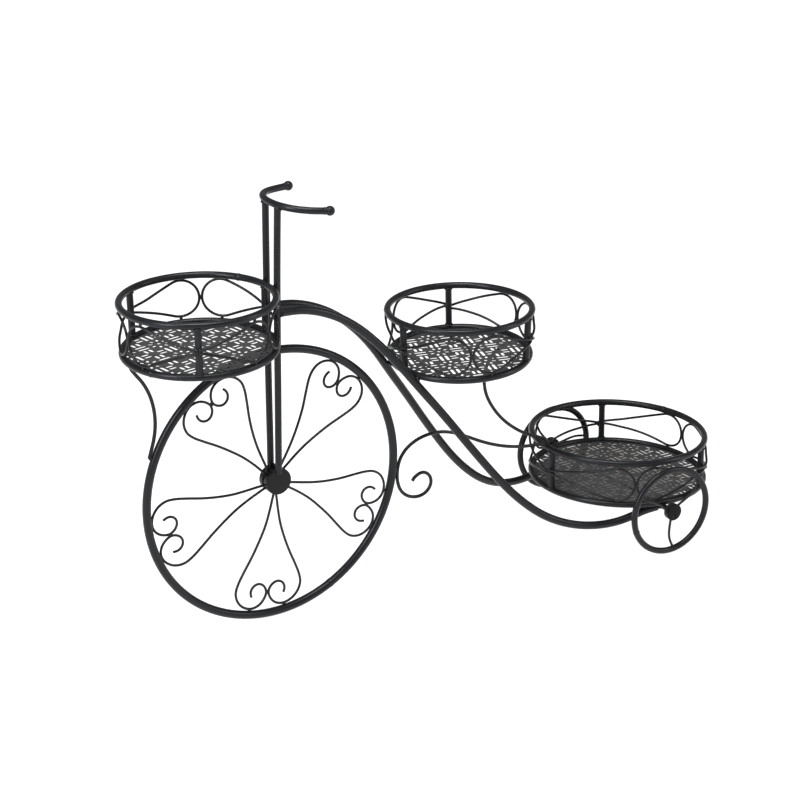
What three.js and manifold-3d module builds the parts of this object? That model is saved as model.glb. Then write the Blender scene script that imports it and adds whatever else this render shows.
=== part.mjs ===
// A bicycle-shaped plant stand of bent and welded steel tube, rod and wire.
// Millimetres, +Z up, the front of the bicycle towards -X, its left side towards -Y.
// All dimensions below are given from the vertical line through the front hub: X = 0 at the hub,
// Y = 0 in the middle plane, Z = 0 on the floor. The last lines move the stand so that the
// middle of its outline is at X = Y = 0.
import * as THREE from "three";
import { mergeVertices } from "three/addons/utils/BufferGeometryUtils.js";
import Module from "manifold-3d";

const wasm = await Module();
wasm.setup();

// ---------------------------------------------------------------- stock sizes (radii)
const FRAME_TUBE = 5; // 10 mm tube: front rim and frame
const TUBE = 4; // 8 mm tube: fork, handlebar, basket rings, posts
const REAR_RIM_TUBE = 3.9;
const ROD = 2.25; // 4.5 mm wire: brace, scroll, support
const WIRE = 1.6; // 3.2 mm wire: hearts, basket scrolls, rear spokes
const GAP = 0.35; // left between welded neighbours

// ---------------------------------------------------------------- front wheel
const WHEEL_R = 180; // centre line of the rim
const HUB_Z = WHEEL_R + FRAME_TUBE; // height of the rim's middle
const HUB = [2.3, 190.8]; // x and z of the hub, which sits a little off the rim's middle
// Two thick discs with a core between them; the hearts' wires end in the groove round the core.
const CORE_R = 12.5,
  CORE_HALF = 1.55,
  DISC_R = 17,
  DISC_IN = 1.95,
  DISC_OUT = 10.4;
const HEART_ANGLES = [123.2, 49.9, -24.7, -95.6, -167.1]; // degrees from +X towards +Z
// One half of a heart: along its axis from the hub, and out from it.
const HEART = [
  [13.8, 2.3],
  [26, 4.6],
  [40, 7],
  [60, 11.5],
  [80, 18],
  [100, 26],
  [120, 36],
  [135, 43],
  [146, 45.6],
  [157, 43.3],
  [165.2, 37],
  [170, 28.4],
  [171, 20],
  [167.6, 11],
  [160, 4.8],
  [152, 2.6],
  [144.6, 5.2],
  [139.8, 10.2],
  [138.6, 15.4],
  [140.8, 21],
  [146.6, 24.6],
  [153, 24.2],
  [156.6, 22.6],
];
// The hearts are bent by hand: how far each wire strays along the axis and out from it, at these
// fractions of its list of points, for the half above the axis and the half below.
const STATIONS = [0, 0.2, 0.4, 0.55, 0.7, 0.85, 1];
const HEART_BEND = [
  [
    { along: [0.2, 1, 0.4, -0.2, 0.8, 0.3, 0.8], out: [3.2, 2.1, 0.7, 0.9, 0.6, -0.9, -0.1] },
    { along: [0.3, -0.5, -0.7, -0.3, -0.3, 0.6, 2.2], out: [-4.2, -1.2, 1.4, 1, 0.1, -0.8, -0.2] },
  ],
  [
    { along: [-0.5, -0.3, 0.6, 0.9, 0.6, 0.3, 3.9], out: [0.7, 0.7, -0.9, -1.7, 0.5, -0.7, -2.7] },
    { along: [0.5, 0.3, -0, -0.5, 0.2, 0.8, 2.9], out: [-0.9, -1.2, -2.3, -2.1, -0.5, -1.9, -2.2] },
  ],
  [
    { along: [0.6, -0.9, -2.3, -2.1, -1.5, -0.9, -0.1], out: [-4.1, -1.4, 1, -0.1, -0.4, -1.1, -0.5] },
    { along: [0.9, 1.1, -0, -1, -0.9, -1.6, 0.7], out: [2.3, 0.8, -0.1, 0.1, -0.1, -1.5, -0.8] },
  ],
  [
    { along: [-0.3, -1.3, -2.2, -1.9, -1.4, -1.7, -1.2], out: [-1.4, 0.4, 3.8, 2.9, 0.7, -1.7, 0.7] },
    { along: [0.2, -0.5, -1.7, -1.6, -0.7, -1.6, -1.8], out: [-2.4, -1.8, 1.4, 1.8, 0.7, -0.7, 0.8] },
  ],
  [
    { along: [0.7, 0.9, -0.4, -0.6, 1.5, 0.9, 0.3], out: [2.4, 1.2, 1, 0.4, -0.7, -1.6, 0.5] },
    { along: [-0.8, -0.9, -1.1, 0.9, 1.6, 1.2, 1.2], out: [-4.1, -2, 1.9, 1.5, 0.5, -0.8, 0.7] },
  ],
];

// ---------------------------------------------------------------- fork and handlebar
const FORK = [
  // x, half distance apart, z
  [2.1, 10.5, HUB[1] + DISC_R + GAP],
  [2.8, 10.7, 240],
  [3.5, 11.4, 280],
  [4.3, 12.0, 320],
  [5.0, 12.4, 360],
  [5.9, 12.8, 400],
  [6.8, 13.2, 440],
  [7.9, 13.7, 480],
  [9.1, 14.4, 520],
  [10.2, 15.0, 551.6],
];
const BAR = [
  // x, y, z
  [53, -51.5, 551.1],
  [49.4, -50.4, 551.5],
  [43.7, -48.2, 552],
  [38.2, -45.7, 552.6],
  [33.1, -42.4, 553.2],
  [28.2, -38.8, 553.7],
  [23.7, -34.6, 554.3],
  [19.6, -29.7, 554.8],
  [16, -23.8, 555.4],
  [12.9, -16.9, 555.9],
  [10.9, -10.6, 556.3],
  [9.6, -3.2, 556.7],
  [9, 5.8, 557.1],
  [9.4, 13.3, 557.4],
  [11, 20.9, 557.6],
  [13.9, 28.1, 557.6],
  [18, 34.5, 557.5],
  [24.1, 40.9, 557.3],
  [31.3, 45.6, 556.8],
  [38.8, 48.9, 556.3],
  [45.9, 51.4, 555.8],
  [52.8, 53.6, 555.3],
];
const KNOBS = [
  [61.7, -53.2, 550.3],
  [66.7, 57.9, 554.3],
];
const KNOB_R = 6.2;

// ---------------------------------------------------------------- frame tubes
const FRAME = [
  // x, half distance apart, z
  [10.9, 14.2, 419.4],
  [26, 14.1, 418.8],
  [42, 14.1, 416.8],
  [60, 14.0, 411.2],
  [80, 14.0, 402.6],
  [101, 14.2, 390.6],
  [122, 15.6, 375],
  [142, 18.6, 356],
  [161, 23.2, 334.9],
  [180, 29.4, 310.6],
  [200, 36.2, 283.1],
  [220, 42.4, 256.2],
  [240, 48.0, 228.7],
  [260, 53.2, 200.2],
  [280, 57.9, 172.6],
  [300, 62.2, 146],
  [321, 66.3, 120.5],
  [342, 69.9, 98.8],
  [366, 74.4, 78.4],
  [392, 79.8, 62.8],
  [420, 86.2, 52.4],
  [448, 92.2, 47.4],
  [474, 97.6, 47.2],
  [496, 102.4, 51.2],
  [514, 107.4, 57.6],
  [533.2, 115.0, 61.7],
];

// ---------------------------------------------------------------- baskets
// x of the middle, height and radius of each ring's centre line, lean of each ring as the
// x and y parts of its normal, the angles of the posts, the radius of the wire's round ends, how
// far outside the rings' centre line the wire lies, and the post (if any) that the wires butt
// against from the side, because the fork stands close behind it. The drops are bent by hand: for
// each section, and in it for the drop after its middle and the one before, how far the drop's round
// end lies off (along, up), how much larger it is, how high its tip stands, and how far its upper
// and lower strands bulge.
const BASKETS = [
  { name: "front_basket", x: -96.3, zt: 452.1, rt: 95.5, lt: [0, 0], zb: 389.0, rb: 94.5, lb: [-0.0148, -0.0173], posts: [2.5, 122.5, 242.5], circle: 25, out: 2.2, butt: 0,
    drops: [
      [[-3.2, 0.5, -0.6, 1, -2.2, -1], [3.2, 0.5, 0.1, 1.2, 0, -0.3]],
      [[0, 0, 0, 0, -1, -1], [0, 0, 0, 0, -1, -1]],
      [[0, 0, 0, 0, -1, -1], [0, 0, 0, 0, -1, -1]],
    ] },
  { name: "middle_basket", x: 285.4, zt: 365.4, rt: 94.8, lt: [0, 0], zb: 303.2, rb: 92.0, lb: [-0.0253, -0.0306], posts: [66, 186, 306], circle: 25, out: 2.6, butt: -1,
    drops: [
      [[-3.5, 0.4, 0, 0, -1, -1], [3.8, 0.6, -0.1, 0.3, 0.1, -2.4]],
      [[0, 0, 0, 0, -1, -1], [0, 0, 0, 0, -1, -1]],
      [[-3.2, -0.6, 0.1, -3.2, 1, -2.6], [3.2, -0.6, 0.1, 4.5, 1, 1.2]],
    ] },
  { name: "rear_basket", x: 551.4, zt: 129.2, rt: 120.9, lt: [0.0435, 0], zb: 69.3, rb: 120.9, lb: [0.0435, 0], posts: [64.5, 184.5, 304.5], circle: 25, out: 2.6, butt: -1,
    drops: [
      [[-1.2, 0, 0, -2, -1.5, -1.5], [1.4, -0.1, 0.4, -5.4, -2.1, -2.6]],
      [[0, 0, 0, 0, -1, -1], [0, 0, 0, 0, -1, -1]],
      [[-0.6, -0.5, 0.3, -4.1, -2.4, -2.3], [1.2, -0.5, 0.2, -1.2, 0.6, 1.4]],
    ] },
];
const TRAY_T = 1, // sheet thickness
  TRAY_TOP = -0.5; // its upper face, from the plane of the bottom ring's centre line

// ---------------------------------------------------------------- rods in the middle plane (x, z)
const BRACE = [
  [-189.6, 381.0],
  [-184.6, 373.4],
  [-177.3, 364.1],
  [-171.7, 354.2],
  [-167.3, 344],
  [-164.2, 333.4],
  [-162.3, 322.8],
  [-161.5, 312.1],
  [-161.8, 301.5],
  [-163.2, 291.1],
  [-165.7, 280.6],
  [-169.0, 270.4],
  [-172.4, 260.6],
];
const SCROLL = [
  [208.1, 135.0],
  [209.6, 139.2],
  [214.6, 143.5],
  [223.5, 146.7],
  [231.6, 144.3],
  [237.3, 137.7],
  [239.0, 129.5],
  [236.2, 121.7],
  [229.7, 115.9],
  [220.9, 113.3],
  [211.1, 114.2],
  [201.8, 117.9],
  [194.3, 123.8],
  [189.2, 131.2],
  [186.4, 139.7],
  [185.3, 148.8],
  [185.8, 157.7],
  [187.4, 166.2],
  [190.4, 173.6],
  [194.6, 180.2],
  [199.9, 185.7],
  [206.4, 190.3],
  [213.9, 194.0],
  [222.0, 196.6],
  [230.7, 198.3],
  [244.3, 198.9],
  [258.5, 197.1],
  [277.3, 191.0],
  [295.9, 181.8],
  [314.7, 171.6],
  [333.7, 162.4],
  [353.2, 154.8],
  [373.0, 148.9],
  [393.2, 144.8],
  [411, 142.9],
  [423.9, 140.6],
];
const SUPPORT = [
  [377, 298.9],
  [366, 299.1],
  [356, 298.6],
  [346.4, 295.4],
  [337.4, 289.2],
  [330.6, 280.6],
  [326.4, 270.4],
  [324.4, 260],
  [324.7, 249.5],
  [327.4, 236.4],
  [333, 223.6],
  [340.6, 211.0],
  [349.8, 198.9],
  [360.7, 187.4],
  [372.9, 177.1],
  [386, 167.8],
  [399.7, 160.2],
  [414, 153.8],
  [423.8, 148.6],
  [429.8, 141.9],
];

// ---------------------------------------------------------------- rear wheels
const REAR_X = 539.4,
  REAR_R = 59.1,
  REAR_Z = REAR_R + REAR_RIM_TUBE,
  REAR_Y = 135.8;
// Each wheel's drum turns on the axle between a sleeve of the axle and a cap welded to its end.
const AXLE_R = 2.5,
  BORE_R = 2.85;
const SLEEVE_R = 3.75,
  SLEEVE_Y = 124.8, // inner end of the sleeve, from the middle plane
  HUB_DRUM_R = 10.8,
  HUB_DRUM_Y = [136.4, 142.05], // its inner and outer face
  CAP_R = 11,
  CAP_Y = [142.4, 145.3],
  SPOKE_Y = 138; // where the spokes stand on the drum
// Spokes: angle of the outer end, and how far the middle bows ahead of it, in degrees.
const SPOKES_LEFT = { ends: [36, 156, 276], bow: -10 };
const SPOKES_RIGHT = { ends: [4.5, 124.5, 244.5], bow: 7 };

// ================================================================ materials
const tubePaint = new THREE.MeshStandardMaterial({ name: "tube_paint", color: 0x2b2c2f, roughness: 0.42, metalness: 0.25 });
const wirePaint = new THREE.MeshStandardMaterial({ name: "wire_paint", color: 0x2e2f32, roughness: 0.48, metalness: 0.25 });
const platePaint = new THREE.MeshStandardMaterial({ name: "plate_paint", color: 0x3a3b3d, roughness: 0.55, metalness: 0.25 });

const stand = new THREE.Group();
const rad = THREE.MathUtils.degToRad;

function put(name, geometry, material) {
  const mesh = new THREE.Mesh(geometry, material);
  mesh.name = name;
  stand.add(mesh);
  return mesh;
}

// ================================================================ shapes
// A path that is stepped at its own points.
class SteppedPath extends THREE.CatmullRomCurve3 {
  getPointAt(t, target) {
    return this.getPoint(t, target);
  }
  getTangentAt(t, target) {
    return this.getTangent(t, target);
  }
}

function roundSection(r, sides) {
  const points = [];
  for (let i = 0; i < sides; i++) {
    const a = (i / sides) * 2 * Math.PI;
    points.push(new THREE.Vector2(r * Math.cos(a), r * Math.sin(a)));
  }
  return new THREE.Shape(points);
}

// A round bar along points, with a flat end at each end.
function bar(points, r, sides, stepsPerSpan = 1) {
  const path = new SteppedPath(
    points.map((p) => new THREE.Vector3(...p)),
    false,
    "centripetal",
  );
  return new THREE.ExtrudeGeometry(roundSection(r, sides), {
    steps: (points.length - 1) * stepsPerSpan,
    bevelEnabled: false,
    extrudePath: path,
  });
}

// A ring of round tube about an axis along Z that leans by (lx, ly).
function ring(x, y, z, r, tube, sides, segments, lean = [0, 0]) {
  const g = new THREE.TorusGeometry(r, tube, sides, segments);
  const n = new THREE.Vector3(lean[0], lean[1], 1).normalize();
  g.applyQuaternion(new THREE.Quaternion().setFromUnitVectors(new THREE.Vector3(0, 0, 1), n));
  return g.translate(x, y, z);
}

// A wheel's ring about Y. Its facets stand half a step round, so that the lowest one lies flat on
// the floor, and its corners stand proud of the true circle by as much as the facets would fall short.
function wheelRing(r, tube, sides, segments) {
  const g = new THREE.TorusGeometry(r / Math.cos(Math.PI / segments), tube, sides, segments);
  return g.rotateX(Math.PI / 2).rotateY(Math.PI / segments);
}

function solid(geometry) {
  const g = geometry.clone();
  g.deleteAttribute("normal");
  g.deleteAttribute("uv");
  const m = mergeVertices(g, 1e-4);
  return new wasm.Manifold(
    new wasm.Mesh({
      numProp: 3,
      vertProperties: new Float32Array(m.attributes.position.array),
      triVerts: new Uint32Array(m.index.array),
    }),
  );
}

function joined(...geometries) {
  const all = geometries.map(solid).reduce((a, b) => a.add(b));
  const mesh = all.getMesh();
  const g = new THREE.BufferGeometry();
  g.setAttribute("position", new THREE.BufferAttribute(new Float32Array(mesh.vertProperties), 3));
  g.setIndex(new THREE.BufferAttribute(new Uint32Array(mesh.triVerts), 1));
  g.computeVertexNormals();
  return g;
}

// ================================================================ front wheel
put("front_wheel_rim", wheelRing(WHEEL_R, FRAME_TUBE, 6, 56), tubePaint).position.set(0, 0, HUB_Z);

const HEART_REACH = WHEEL_R - FRAME_TUBE - WIRE - GAP - 0.25;
const between = (at, xs, ys) => {
  let k = 0;
  while (k < xs.length - 2 && at > xs[k + 1]) k++;
  return ys[k] + ((ys[k + 1] - ys[k]) * (at - xs[k])) / (xs[k + 1] - xs[k]);
};
const heartLength = HEART.map((p, k) => (k ? Math.hypot(p[0] - HEART[k - 1][0], p[1] - HEART[k - 1][1]) : 0)).map((sum => (d) => (sum += d))(0));
HEART_ANGLES.forEach((deg, i) => {
  const c = Math.cos(rad(deg)),
    s = Math.sin(rad(deg));
  const at = (u, v) => {
    // the inner part of each wire leans with the hub
    const k = 1 - THREE.MathUtils.smoothstep(u, 13.8, 120);
    return [u * c - v * s + k * HUB[0], 0, HUB_Z + u * s + v * c + k * (HUB[1] - HUB_Z)];
  };
  const lines = [1, -1].map((side, h) =>
    HEART.map(([u, v], n) => {
      const t = heartLength[n] / heartLength[HEART.length - 1];
      const du = between(t, STATIONS, HEART_BEND[i][h].along),
        dv = side * between(t, STATIONS, HEART_BEND[i][h].out);
      const p = at(u, side * v);
      const x = p[0] + du * c - dv * s,
        z = p[2] + du * s + dv * c - HUB_Z;
      const k = Math.min(1, HEART_REACH / Math.hypot(x, z)); // clear of the rim
      return [x * k, 0, HUB_Z + z * k];
    }),
  );
  // The small weld where the two curls kiss.
  const [p, q] = lines.map((line) => line[15]);
  const weld = bar([p, p.map((e, k) => (e + q[k]) / 2), q], 1.2, 6);
  put("front_wheel_heart_" + (i + 1), joined(...lines.map((line) => bar(line, WIRE, 5)), weld), wirePaint);
});

put("front_hub_drum", new THREE.CylinderGeometry(CORE_R, CORE_R, 2 * CORE_HALF, 20), tubePaint).position.set(HUB[0], 0, HUB[1]);
for (const [name, side] of [
  ["front_hub_disc_left", -1],
  ["front_hub_disc_right", 1],
]) {
  const disc = put(name, new THREE.CylinderGeometry(DISC_R, DISC_R, DISC_OUT - DISC_IN, 24), tubePaint);
  disc.position.set(HUB[0], (side * (DISC_IN + DISC_OUT)) / 2, HUB[1]);
}

// ================================================================ fork and handlebar
for (const [name, side] of [
  ["fork_tube_left", -1],
  ["fork_tube_right", 1],
]) {
  put(
    name,
    bar(
      FORK.map(([x, y, z]) => [x, side * y, z]),
      TUBE,
      8,
    ),
    tubePaint,
  );
}
// The bar stops short of each knob.
const barEnd = (knob, next) => {
  const c = new THREE.Vector3(...knob),
    d = new THREE.Vector3(...next).sub(c);
  return c.addScaledVector(d.normalize(), KNOB_R + GAP).toArray();
};
put("handlebar", bar([barEnd(KNOBS[0], BAR[0]), ...BAR.slice(1, -1), barEnd(KNOBS[1], BAR[BAR.length - 1])], TUBE, 8), tubePaint);
for (const [name, at] of [
  ["handlebar_knob_left", KNOBS[0]],
  ["handlebar_knob_right", KNOBS[1]],
]) {
  put(name, new THREE.SphereGeometry(KNOB_R, 12, 8), tubePaint).position.set(...at);
}

// ================================================================ frame tubes
for (const [name, side] of [
  ["frame_tube_left", -1],
  ["frame_tube_right", 1],
]) {
  put(
    name,
    bar(
      FRAME.map(([x, y, z]) => [x, side * y, z]),
      FRAME_TUBE,
      8,
    ),
    tubePaint,
  );
}

// ================================================================ baskets
for (const b of BASKETS) {
  const top = (a) => b.zt - b.lt[0] * b.rt * Math.cos(a) - b.lt[1] * b.rt * Math.sin(a);
  const bottom = (a) => b.zb - b.lb[0] * b.rb * Math.cos(a) - b.lb[1] * b.rb * Math.sin(a);
  const segments = b.rt > 100 ? 40 : 34;
  put(b.name + "_top_ring", ring(b.x, 0, b.zt, b.rt, TUBE, 6, segments, b.lt), tubePaint);
  put(b.name + "_bottom_ring", ring(b.x, 0, b.zb, b.rb, TUBE, 6, segments, b.lb), tubePaint);

  b.posts.forEach((deg, i) => {
    const a = rad(deg);
    const lo = new THREE.Vector3(b.x + b.rb * Math.cos(a), b.rb * Math.sin(a), bottom(a));
    const hi = new THREE.Vector3(b.x + b.rt * Math.cos(a), b.rt * Math.sin(a), top(a));
    const dir = hi.clone().sub(lo),
      length = dir.length() - 2 * (TUBE + GAP + 0.15);
    dir.normalize();
    const post = put(b.name + "_post_" + (i + 1), new THREE.CylinderGeometry(TUBE, TUBE, length, 10), tubePaint);
    post.position.copy(lo.add(hi).multiplyScalar(0.5));
    post.quaternion.setFromUnitVectors(new THREE.Vector3(0, 1, 0), dir);
  });

  // Between two posts: a pair of mirrored teardrops of wire, their round ends kissing in the
  // middle of the section. At the posts the wire lies on the outside of the tube.
  b.posts.forEach((deg, i) => {
    const mid = rad(deg + 60);
    const r0 = (b.rt + b.rb) / 2;
    const half = r0 * rad(60);
    const butts = (side) => (side > 0 ? (i + 1) % 3 : i) === b.butt;
    const onRing = (side, u, v) => {
      const a = mid + (side * u) / r0;
      const k = butts(side) ? 0 : THREE.MathUtils.smoothstep(u, half - 34, half - 6);
      const zt = top(a),
        zb = bottom(a);
      const t = 0.5 + v / (zt - zb);
      const r = b.rb + (b.rt - b.rb) * t + b.out + k * (TUBE + WIRE + GAP - b.out);
      return [b.x + r * Math.cos(a), r * Math.sin(a), (zt + zb) / 2 + v];
    };
    const inner = {};
    const drops = [1, -1].map((side, h) => {
      const [along, up, larger, tip, bulgeUp, bulgeLow] = b.drops[i][h];
      const gapHere = (u) => {
        const a = mid + (side * u) / r0;
        return top(a) - bottom(a);
      };
      const room = Math.min(b.circle, (gapHere(26) - 2 * TUBE) / 2 - WIRE - 0.7);
      const R = room + larger;
      const cu = room + WIRE - 0.15 + along;
      inner[side] = [cu - R, up];
      const end = half - (butts(side) ? 4.9 : 1.1),
        spread = 2.1;
      const tangent = Math.acos((R - spread) / (end - cu)); // where the straight strand leaves the circle
      const points = [];
      const tu = cu + R * Math.cos(tangent),
        tv = R * Math.sin(tangent);
      const strand = (k, sign) => [
        end + (tu - end) * k,
        tip + (up - tip) * k + sign * (spread + (tv - spread) * k + (sign > 0 ? bulgeUp : bulgeLow) * Math.sin(Math.PI * k)),
      ];
      for (const k of [0, 0.12, 0.35, 0.65]) points.push(strand(k, 1));
      const n = 9;
      for (let j = 0; j <= n; j++) {
        const a = tangent + ((2 * Math.PI - 2 * tangent) * j) / n;
        points.push([cu + R * Math.cos(a), up + R * Math.sin(a)]);
      }
      for (const k of [0.65, 0.35, 0.12, 0]) points.push(strand(k, -1));
      return bar(
        points.map(([u, v]) => onRing(side, u, v)),
        WIRE,
        5,
      );
    });
    const [p, q] = [1, -1].map((side) => onRing(side, inner[side][0] + 0.4, inner[side][1]));
    const weld = bar([p, p.map((e, k) => (e + q[k]) / 2), q], 1.3, 6);
    put(b.name + "_scroll_pair_" + (i + 1), joined(...drops, weld), wirePaint);
  });

  // The tray: a flat disc of sheet inside the bottom ring.
  const R = b.rb - TUBE - GAP - 0.25;
  const tray = new THREE.CylinderGeometry(R, R, TRAY_T, 32);
  tray.rotateX(Math.PI / 2).translate(0, 0, TRAY_TOP - TRAY_T / 2);
  const n = new THREE.Vector3(b.lb[0], b.lb[1], 1).normalize();
  tray.applyQuaternion(new THREE.Quaternion().setFromUnitVectors(new THREE.Vector3(0, 0, 1), n));
  put(b.name + "_tray", tray.translate(b.x, 0, b.zb), platePaint);
}

// ================================================================ rods in the middle plane
for (const [name, path] of [
  ["front_basket_brace", BRACE],
  ["rear_scroll", SCROLL],
  ["middle_basket_support", SUPPORT],
]) {
  put(
    name,
    bar(
      path.map(([x, z]) => [x, 0, z]),
      ROD,
      6,
    ),
    wirePaint,
  );
}

// ================================================================ rear axle and wheels
const axleHalf = [
  [0, HUB_DRUM_Y[1]],
  [AXLE_R, HUB_DRUM_Y[1]],
  [AXLE_R, HUB_DRUM_Y[0] - GAP],
  [SLEEVE_R, HUB_DRUM_Y[0] - GAP],
  [SLEEVE_R, SLEEVE_Y],
  [AXLE_R, SLEEVE_Y],
];
const axleProfile = [...axleHalf.map(([r, y]) => [r, -y]), ...axleHalf.map(([r, y]) => [r, y]).reverse()].map(([x, y]) => new THREE.Vector2(x, y));
put("rear_axle", new THREE.LatheGeometry(axleProfile, 16), tubePaint).position.set(REAR_X, 0, REAR_Z);

for (const [name, side, spokes] of [
  ["rear_wheel_left", -1, SPOKES_LEFT],
  ["rear_wheel_right", 1, SPOKES_RIGHT],
]) {
  put(name + "_rim", wheelRing(REAR_R, REAR_RIM_TUBE, 6, 32), tubePaint).position.set(REAR_X, side * REAR_Y, REAR_Z);

  // The drum, a sleeve open at both ends.
  const [drumIn, drumOut] = HUB_DRUM_Y;
  const sleeve = [
    [BORE_R, drumIn],
    [HUB_DRUM_R, drumIn],
    [HUB_DRUM_R, drumOut],
    [BORE_R, drumOut],
    [BORE_R, drumIn],
  ].map(([x, y]) => new THREE.Vector2(x, y));
  const hub = new THREE.LatheGeometry(sleeve, 16);
  if (side < 0) hub.rotateZ(Math.PI);
  put(name + "_hub", hub, tubePaint).position.set(REAR_X, 0, REAR_Z);
  const cap = put(name + "_cap", new THREE.CylinderGeometry(CAP_R, CAP_R, CAP_Y[1] - CAP_Y[0], 20), tubePaint);
  cap.position.set(REAR_X, (side * (CAP_Y[0] + CAP_Y[1])) / 2, REAR_Z);

  spokes.ends.forEach((deg, i) => {
    const points = [
      [HUB_DRUM_R + GAP + 0.1, 0.85],
      [16, 0.95],
      [25, 1],
      [35, 0.9],
      [43, 0.62],
      [50, 0.27],
      [REAR_R - REAR_RIM_TUBE - GAP - 0.7, 0],
    ].map(([r, k]) => {
      const a = rad(deg + k * spokes.bow);
      const y = SPOKE_Y + ((REAR_Y - SPOKE_Y) * (r - HUB_DRUM_R)) / (REAR_R - REAR_RIM_TUBE - HUB_DRUM_R);
      return [REAR_X + r * Math.cos(a), side * y, REAR_Z + r * Math.sin(a)];
    });
    put(name + "_spoke_" + (i + 1), bar(points, WIRE, 6), wirePaint);
  });
}

// ================================================================ the part's origin
const outline = new THREE.Box3().setFromObject(stand, true);
const middle = outline.getCenter(new THREE.Vector3());
stand.position.set(-middle.x, -middle.y, -outline.min.z);

export default stand;
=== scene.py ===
import math

import bpy
import numpy as np
from mathutils import Matrix, Vector, noise


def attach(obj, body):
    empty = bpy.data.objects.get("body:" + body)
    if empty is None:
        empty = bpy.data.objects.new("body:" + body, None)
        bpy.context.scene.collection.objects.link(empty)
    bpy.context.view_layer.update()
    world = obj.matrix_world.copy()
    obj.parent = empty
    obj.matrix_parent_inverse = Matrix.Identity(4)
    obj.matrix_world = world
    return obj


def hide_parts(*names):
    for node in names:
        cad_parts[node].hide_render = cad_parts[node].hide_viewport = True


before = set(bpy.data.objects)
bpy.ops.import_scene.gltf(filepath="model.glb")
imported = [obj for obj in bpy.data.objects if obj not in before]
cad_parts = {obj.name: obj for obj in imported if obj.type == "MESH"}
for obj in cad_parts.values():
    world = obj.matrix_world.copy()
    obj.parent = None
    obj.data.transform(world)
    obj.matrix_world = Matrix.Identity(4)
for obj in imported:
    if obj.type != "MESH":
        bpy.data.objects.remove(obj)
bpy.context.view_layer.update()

# A bicycle-shaped plant stand of bent and welded steel, under satin black powder coat.
# The shapes are laid out in millimetres from the vertical line through the front hub, as the
# solids are, and to_frame() brings them to the part's frame in metres.
SHIFT = np.array([240.307213, 0.0, 0.007874])


def to_frame(p):
    return (np.asarray(p, float) - SHIFT) / 1000.0


# ---------------------------------------------------------------- camera
def camera():
    az, el, roll = (math.radians(a) for a in (-31.7295, 21.6452, -0.8436))
    back = Vector((math.sin(az) * math.cos(el), -math.cos(az) * math.cos(el), math.sin(el)))
    right = Vector((math.cos(az), math.sin(az), 0))
    up = back.cross(right)
    r2 = math.cos(roll) * right + math.sin(roll) * up
    u2 = -math.sin(roll) * right + math.cos(roll) * up
    target = Vector(to_frame((175.188, 0, 258.572)))
    cam = bpy.data.objects.new("camera", bpy.data.cameras.new("camera"))
    bpy.context.scene.collection.objects.link(cam)
    cam.matrix_world = Matrix(
        ((r2.x, u2.x, back.x, 0), (r2.y, u2.y, back.y, 0), (r2.z, u2.z, back.z, 0), (0, 0, 0, 1))
    )
    cam.location = target + back * 2.97329
    cam.data.sensor_width = 36
    cam.data.lens = 2284.13 / 800 * 36
    cam.data.shift_x = (400 - 389.32) / 800
    cam.data.shift_y = (401.70 - 400) / 800
    cam.data.clip_start, cam.data.clip_end = 0.05, 100
    bpy.context.scene.camera = cam


camera()


# ---------------------------------------------------------------- materials
def node_tree(mat):
    mat.use_nodes = True
    t = mat.node_tree
    t.nodes.clear()
    out = t.nodes.new("ShaderNodeOutputMaterial")
    shader = t.nodes.new("ShaderNodeBsdfPrincipled")
    t.links.new(shader.outputs[0], out.inputs[0])
    return t, shader


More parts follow.
